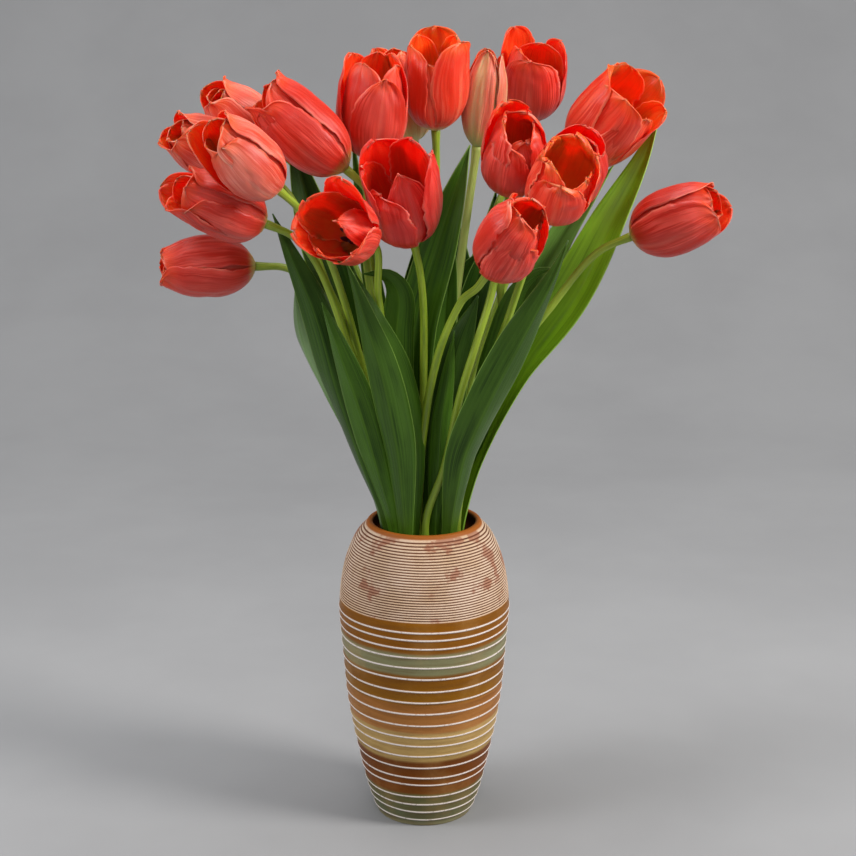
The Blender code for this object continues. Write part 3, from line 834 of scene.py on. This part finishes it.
def stem_path(base, aim, neck, bends):
    """From the vase floor, up through the neck and the bends, to just under the bloom."""
    neck_point = Vector((neck[0] * MM, neck[1] * MM, NECK_HEIGHT))
    foot = Vector((neck_point.x * STEM_FOOT_SPREAD, neck_point.y * STEM_FOOT_SPREAD, STEM_FOOT_HEIGHT))
    top = Vector(base) * MM
    under = top - aim * STRAIGHT_UNDER_BLOOM
    through = [Vector(bend) * MM for bend in bends]
    if not through:
        rise = (under - neck_point).length
        lean = Vector((neck_point.x, neck_point.y, 0)) + Vector((0, 0, 0.12))
        start = lean.normalized() * rise
        through = [(neck_point + under) / 2 + (start - aim * rise) / 8]
    rising = (neck_point - foot).normalized()
    above = smooth_path([neck_point, *through, under], STEM_STEPS, rising, aim)
    below = [foot.lerp(neck_point, k / 12) for k in range(12)]
    last = [under.lerp(top + aim * 1.2 * MM, k / 5) for k in range(1, 6)]
    return below + above + last


def make_stem(number, row, materials):
    rng = random.Random(2000 + int(number))
    path = stem_path(row[0], direction(*row[1]), row[6], row[7])
    thick = STEM_RADIUS * (1.12 if number == "10" else rng.uniform(0.92, 1.02))
    radii = []
    for i in range(len(path)):
        t = i / (len(path) - 1)
        radius = thick * (1 + 0.03 * noise.noise(Vector((t * 9, int(number) * 1.7, 0))))
        radius *= 1 - 0.10 * smooth_step(0.5, 0.93, t) + 0.24 * smooth_step(0.95, 1.0, t)
        radii.append(radius)
    points, places, faces = tube(path, radii, STEM_SIDES, rng.random(), 0)
    stem = mesh_object("stem_%s_stalk" % number, points, faces, {"place": places},
                       (materials["pale" if number == "10" else "green"],))
    return place_piece(stem, "stem_" + number)


# ---------------------------------------------------------------- leaves

LEAF_ROWS = 56
LEAF_COLUMNS = 15
LEAF_THICKNESS = 0.8 * MM
LEAF_BASE_SHARE = 0.32
LEAF_KEEL = 0.20


def leaf_width(along, widest):
    """Share of the greatest width, from the sheath at 0 to the pointed tip at 1."""
    if along < widest:
        share = (1 - math.cos(math.pi * along / widest)) / 2
        return LEAF_BASE_SHARE + (1 - LEAF_BASE_SHARE) * share
    share = math.cos(math.pi / 2 * ((along - widest) / (1 - widest)) ** 1.25)
    return max(share, 0.02)


def make_leaf(number, row, looks, materials):
    trail, half_width, widest, hollow, face_base, face_tip = row
    wave, waves, twist, tone = looks
    rng = random.Random(3000 + int(number))
    phase, shade = rng.uniform(0, 6), rng.random()
    midrib = smooth_path([Vector(p) * MM for p in trail], LEAF_ROWS)
    points, places = [], []
    for i, centre in enumerate(midrib):
        t = i / (LEAF_ROWS - 1)
        heading = (midrib[min(i + 1, LEAF_ROWS - 1)] - midrib[max(i - 1, 0)]).normalized()
        face = Vector(face_base).lerp(Vector(face_tip), t)
        across = heading.cross(face).normalized()
        upper = across.cross(heading)
        turn = math.radians(twist) * smooth_step(0.6, 1.0, t)
        across, upper = (
            across * math.cos(turn) + upper * math.sin(turn),
            upper * math.cos(turn) - across * math.sin(turn),
        )
        width = half_width * MM * leaf_width(t, widest)
        for j in range(LEAF_COLUMNS):
            s = 2 * j / (LEAF_COLUMNS - 1) - 1
            side_phase = phase + (1.9 if s > 0 else 0.0)
            ripple = math.sin(2 * math.pi * waves * t + side_phase) * smooth_step(0.15, 0.5, t)
            lift = (hollow + LEAF_KEEL) * width * abs(s) ** 1.4
            lift += wave * MM * ripple * abs(s) ** 2.5 * (width / (half_width * MM))
            lift += 0.6 * MM * noise.noise(Vector((s * 1.6, t * 7.0, shade * 40)))
            lift -= 0.5 * MM * math.exp(-((s / 0.12) ** 2))
            nudge = 1 + 0.025 * noise.noise(Vector((t * 9, math.copysign(2, s), shade * 9)))
            points.append(centre + across * (s * width * nudge) + upper * lift)
            places.append((s, t, shade))
    leaf = mesh_object("leaf_%s_blade" % number, points, grid_faces(LEAF_ROWS, LEAF_COLUMNS),
                       {"place": places}, materials[tone])
    two_sided(leaf, LEAF_THICKNESS, 0.0)
    return place_piece(leaf, "leaf_" + number)


# ---------------------------------------------------------------- vase

VASE_SIDES = 144
VASE_WALL = 5.0 * MM
VASE_FLOOR = 9.0 * MM
# Outer radius at each height, from the foot to the rim. All but the last pair were printed by a script
# that fitted the outline to the photographed vase.
VASE_PROFILE = (
    (0, 38.8), (10, 42.4), (20, 45.6), (30, 48.3), (40, 50.6), (50, 52.8), (60, 54.9), (70, 57.0),
    (80, 58.9), (90, 60.7), (100, 62.1), (110, 63.3), (120, 64.1), (130, 64.9), (140, 65.6), (150, 66.4),
    (160, 67.3), (170, 68.0), (180, 68.4), (190, 68.0), (200, 66.9), (210, 65.1), (220, 62.5),
    (230, 58.7), (240, 53.2), (248, 45.6),
)
PROFILE_TOP = 248.0
# Heights of the raised lines of white slip. That fit printed 16 of them; 157.5, 87.0, 79.0 and 69.5
# were given one by one.
SLIP_RINGS = (178.4, 172.4, 165.2, 157.5, 148.3, 138.5, 128.0, 118.3, 108.5, 98.3, 87.0, 79.0, 69.5,
              58.3, 48.6, 41.9, 30.2, 22.4, 15.1, 6.8)
# Rows of the mesh across one slip line, and on the plain clay between the lines.
RING_STEPS = (-2.2, -1.4, -0.9, -0.55, -0.25, 0.0, 0.25, 0.55, 0.9, 1.4, 2.2)
PLAIN_ROWS = (144.2, 133.2, 123.1, 113.4, 103.4, 92.6, 83.0, 74.2, 64.0, 53.4, 36.0, 153.0, 183.0, 161.3)
SLIP_HEIGHT = 0.75
SLIP_HALF = 0.85
COMB_LOW = 186.6
COMB_HIGH = 246.0
COMB_PITCH = 2.05
COMB_DEPTH = 0.55


def vase_rows():
    """Rows up the outside, over the rim and down the inside: radius, height, slip, comb, side."""
    heights = {0.0, 0.6, 1.5, 3.0}
    for ring in SLIP_RINGS:
        heights.update(ring + step for step in RING_STEPS)
    heights.update(PLAIN_ROWS)
    comb_rows = int((COMB_HIGH - COMB_LOW) / COMB_PITCH * 6)
    heights.update(COMB_LOW + (COMB_HIGH - COMB_LOW) * k / comb_rows for k in range(comb_rows + 1))
    heights.update((246.8, 247.6, 248.4))
    rows = []
    for z in sorted(heights):
        radius = curve_value(VASE_PROFILE, min(z, PROFILE_TOP))
        slip = max(math.exp(-(((z - ring) / SLIP_HALF) ** 2)) for ring in SLIP_RINGS)
        comb = 0.0
        if COMB_LOW < z < COMB_HIGH:
            comb = 0.5 - 0.5 * math.cos(2 * math.pi * (z - COMB_LOW) / COMB_PITCH)
        if z < 0.6:
            radius -= 0.6
        rows.append((radius + SLIP_HEIGHT * slip - COMB_DEPTH * comb, z, slip, comb, 0.0))
    rim = curve_value(VASE_PROFILE, PROFILE_TOP)
    for k in range(1, 9):
        angle = math.pi * k / 8
        rows.append((rim - 2.3 + 2.3 * math.cos(angle), 248.4 + 1.6 * math.sin(angle), 0.0, 0.0, k / 8))
    for z in [240 - 8 * k for k in range(28)] + [VASE_FLOOR / MM + 1]:
        rows.append((curve_value(VASE_PROFILE, z) - VASE_WALL / MM, z, 0.0, 0.0, 1.0))
    rows.append((curve_value(VASE_PROFILE, 9) - 9.0, VASE_FLOOR / MM, 0.0, 0.0, 1.0))
    return rows


def make_vase(material):
    rows = vase_rows()
    points, places, marks = [], [], []
    for radius, z, slip, comb, side in rows:
        for k in range(VASE_SIDES):
            angle = 2 * math.pi * k / VASE_SIDES
            c, s = math.cos(angle), math.sin(angle)
            sway = noise.noise(Vector((c * 1.1, s * 1.1, z * 0.045)))
            calm = smooth_step(1.0, 12.0, z) * smooth_step(250.0, 236.0, z)
            height = z + 0.75 * sway * calm * (1 - side)
            out = radius + 0.25 * noise.noise(Vector((c * 0.9, s * 0.9, z * 0.02 + 7))) * calm
            points.append(Vector((c * out, s * out, height)) * MM)
            places.append((c * 0.5 + 0.5, z / 250, s * 0.5 + 0.5))
            marks.append((slip, comb, side))
    faces = grid_faces(len(rows), VASE_SIDES, closed=True)
    faces.append(tuple(reversed(range(VASE_SIDES))))
    last = (len(rows) - 1) * VASE_SIDES
    faces.append(tuple(last + k for k in range(VASE_SIDES)))
    vase = mesh_object("vase_stoneware", points, faces, {"place": places, "marks": marks}, (material,))
    return place_piece(vase, "vase")


# Glaze bands from the foot up: height where each begins, and its colour.
BANDS = (
    (0.0, (0.28, 0.25, 0.13)), (6.0, (0.100, 0.112, 0.055)), (31.5, (0.105, 0.100, 0.032)),
    (33.5, (0.165, 0.045, 0.001)), (63.0, (0.130, 0.032, 0.001)), (65.5, (0.40, 0.26, 0.086)),
    (90.0, (0.43, 0.28, 0.100)), (92.0, (0.35, 0.145, 0.038)), (115.0, (0.29, 0.108, 0.020)),
    (117.5, (0.220, 0.088, 0.002)), (140.0, (0.185, 0.064, 0.001)), (142.5, (0.185, 0.176, 0.086)),
    (159.0, (0.21, 0.205, 0.106)), (161.5, (0.215, 0.072, 0.001)), (186.0, (0.225, 0.078, 0.001)),
)


def vase_finish():
    finish = Finish("stoneware_glaze")
    x, level, y = finish.attribute("place")
    slip, comb, inside = finish.attribute("marks")
    spot = finish.node("ShaderNodeTexCoord").outputs["Object"]
    streaks = finish.noise(
        finish.vector(finish.math("MULTIPLY", x, 3.0), finish.math("MULTIPLY", level, 60.0),
                      finish.math("MULTIPLY", y, 3.0)), 1.0, 4.0, 0.6,
    )
    clouds = finish.noise(spot, 26.0, 4.0, 0.6)
    grain = finish.noise(spot, 420.0, 3.0, 0.6)
    wavering = finish.math(
        "ADD", level, finish.math("MULTIPLY", finish.math("SUBTRACT", clouds, 0.5), 0.008)
    )
    glaze = finish.ramp(wavering, [(z / 250, colour) for z, colour in BANDS])
    glaze = finish.mix(finish.spread(streaks, 0.35, 0.75, 0.0, 0.45), glaze, (0.10, 0.035, 0.006))
    glaze = finish.mix(finish.spread(clouds, 0.45, 0.8, 0.0, 0.28), glaze, (0.48, 0.27, 0.09))
    chips = finish.spread(grain, 0.30, 0.42)
    slip_share = finish.math(
        "MULTIPLY", finish.spread(slip, 0.25, 0.75), finish.math("MAXIMUM", chips, 0.55)
    )
    body = finish.mix(slip_share, glaze, (0.66, 0.58, 0.54))
    cream = finish.mix(finish.spread(clouds, 0.35, 0.7), (0.56, 0.38, 0.24), (0.66, 0.50, 0.38))
    groove = finish.mix(finish.spread(clouds, 0.3, 0.7), (0.085, 0.026, 0.010), (0.150, 0.060, 0.028))
    combed = finish.mix(finish.spread(comb, 0.36, 0.78), cream, groove)
    blotch = finish.noise(spot, 40.0, 4.0, 0.62)
    rust = finish.mix(finish.spread(comb, 0.4, 0.9), (0.30, 0.105, 0.055), (0.13, 0.035, 0.015))
    combed = finish.mix(finish.spread(blotch, 0.555, 0.635, 0.0, 0.75), combed, rust)
    upper = finish.spread(level, 0.7435, 0.7475)
    body = finish.mix(upper, body, combed)
    rim = finish.spread(level, 0.986, 0.991)
    body = finish.mix(rim, body, (0.30, 0.085, 0.010))
    body = finish.mix(finish.spread(inside, 0.7, 0.95), body, (0.16, 0.045, 0.010))
    finish.set("Base Color", body)
    rough = finish.spread(streaks, 0.2, 0.8, 0.34, 0.48)
    rough = finish.math("ADD", rough, finish.math("MULTIPLY", upper, 0.15))
    finish.set("Roughness", rough)
    finish.set("Specular IOR Level", 0.15)
    height = finish.math("ADD", grain, finish.math("MULTIPLY", clouds, 2.0))
    finish.bump(height, 0.0003, 0.35)
    return finish.material


# ---------------------------------------------------------------- studio

FLOOR_FRONT = -6.0
FLOOR_BACK = 2.6
FLOOR_HALF = 7.0
WALL_HEIGHT = 5.0
BEND_RADIUS = 1.6


def make_floor():
    """A pale floor that sweeps up into a backdrop."""
    profile = [(FLOOR_FRONT, 0.0), (FLOOR_BACK - BEND_RADIUS, 0.0)]
    for k in range(1, 17):
        angle = math.pi / 2 * k / 16
        profile.append((FLOOR_BACK - BEND_RADIUS + BEND_RADIUS * math.sin(angle),
                        BEND_RADIUS - BEND_RADIUS * math.cos(angle)))
    profile.append((FLOOR_BACK, WALL_HEIGHT))
    points = []
    for y, z in profile:
        points += [Vector((-FLOOR_HALF, y, z)), Vector((FLOOR_HALF, y, z))]
    finish = Finish("studio_floor")
    spot = finish.node("ShaderNodeTexCoord").outputs["Object"]
    soft = finish.noise(spot, 2.5, 4.0, 0.6)
    finish.set(
        "Base Color", finish.mix(finish.spread(soft, 0.3, 0.7), (0.28, 0.28, 0.285), (0.31, 0.31, 0.315))
    )
    finish.set("Roughness", 0.7)
    floor = mesh_object("studio_floor", points, grid_faces(len(profile), 2), {}, (finish.material,))
    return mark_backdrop(floor)


def add_light(name, place, aim, size, energy, colour):
    data = bpy.data.lights.new(name, "AREA")
    data.shape = "DISK"
    data.size = size
    data.energy = energy
    data.color = colour
    light = bpy.data.objects.new(name, data)
    bpy.context.scene.collection.objects.link(light)
    light.location = place
    light.rotation_euler = (Vector(aim) - Vector(place)).to_track_quat("-Z", "Y").to_euler()
    return light


def make_studio():
    world = bpy.data.worlds.new("studio")
    bpy.context.scene.world = world
    world.use_nodes = True
    background = world.node_tree.nodes["Background"]
    background.inputs["Color"].default_value = (0.93, 0.96, 1.0, 1)
    background.inputs["Strength"].default_value = 0.28
    add_light("key", (2.1, -0.85, 1.6), (0, 0, 0.4), 0.9, 73, (1.0, 0.98, 0.95))
    add_light("fill", (-2.1, -0.75, 1.4), (0, 0, 0.4), 1.2, 33, (0.97, 0.98, 1.0))
    add_light("front", (0.2, -2.4, 1.9), (0, 0, 0.45), 1.0, 14, (1.0, 0.99, 0.97))
    add_light("top", (-0.2, 0.1, 2.3), (0, 0, 0.4), 1.2, 25, (1.0, 1.0, 1.0))


CAMERA_LENS = 76.88
CAMERA_PLACE = (0.0031, -1.3946, 0.6961)
CAMERA_DOWN = 14.9


def make_camera():
    data = bpy.data.cameras.new("camera")
    data.lens = CAMERA_LENS
    data.sensor_width = 36.0
    data.clip_end = 100.0
    camera = bpy.data.objects.new("camera", data)
    bpy.context.scene.collection.objects.link(camera)
    camera.location = CAMERA_PLACE
    camera.rotation_euler = (math.radians(90 - CAMERA_DOWN), 0, 0)
    bpy.context.scene.camera = camera


def main():
    petals = {}
    for tone, colours in TONES.items():
        petals[tone] = (
            petal_finish("petal_%s_outside" % tone, colours, False),
            petal_finish("petal_%s_inside" % tone, colours, True),
        )
    leaves = {}
    for tone, (low, high, under_low, under_high) in LEAF_TONES.items():
        leaves[tone] = (
            leaf_finish("leaf_%s_upper" % tone, low, high, 0.24),
            leaf_finish("leaf_%s_under" % tone, under_low, under_high, 0.18),
        )
    stems = {
        "green": stem_finish("stem_green", (0.165, 0.255, 0.010), (0.330, 0.450, 0.030)),
        # T10's stem: a paler yellow-green, brightened further as painted light.
        "pale": stem_finish("stem_pale_and_lit", (0.330, 0.430, 0.070), (0.480, 0.580, 0.150)),
    }
    hearts = (
        plain_finish("pistil_green", (0.42, 0.45, 0.14), (0.60, 0.60, 0.25), 500.0, 0.45),
        plain_finish("anther_dark", (0.012, 0.006, 0.010), (0.045, 0.020, 0.030), 1500.0, 0.75),
    )
    make_vase(vase_finish())
    for number, row in TULIPS.items():
        make_stem(number, row, stems)
        make_bloom(number, row, BLOOM_LOOKS[number], petals)
        make_heart(number, row, hearts)
    for number, row in LEAVES.items():
        make_leaf(number, row, LEAF_LOOKS[number], leaves)
    make_floor()
    make_studio()
    make_camera()
    bpy.context.scene.view_settings.view_transform = "Standard"


main()
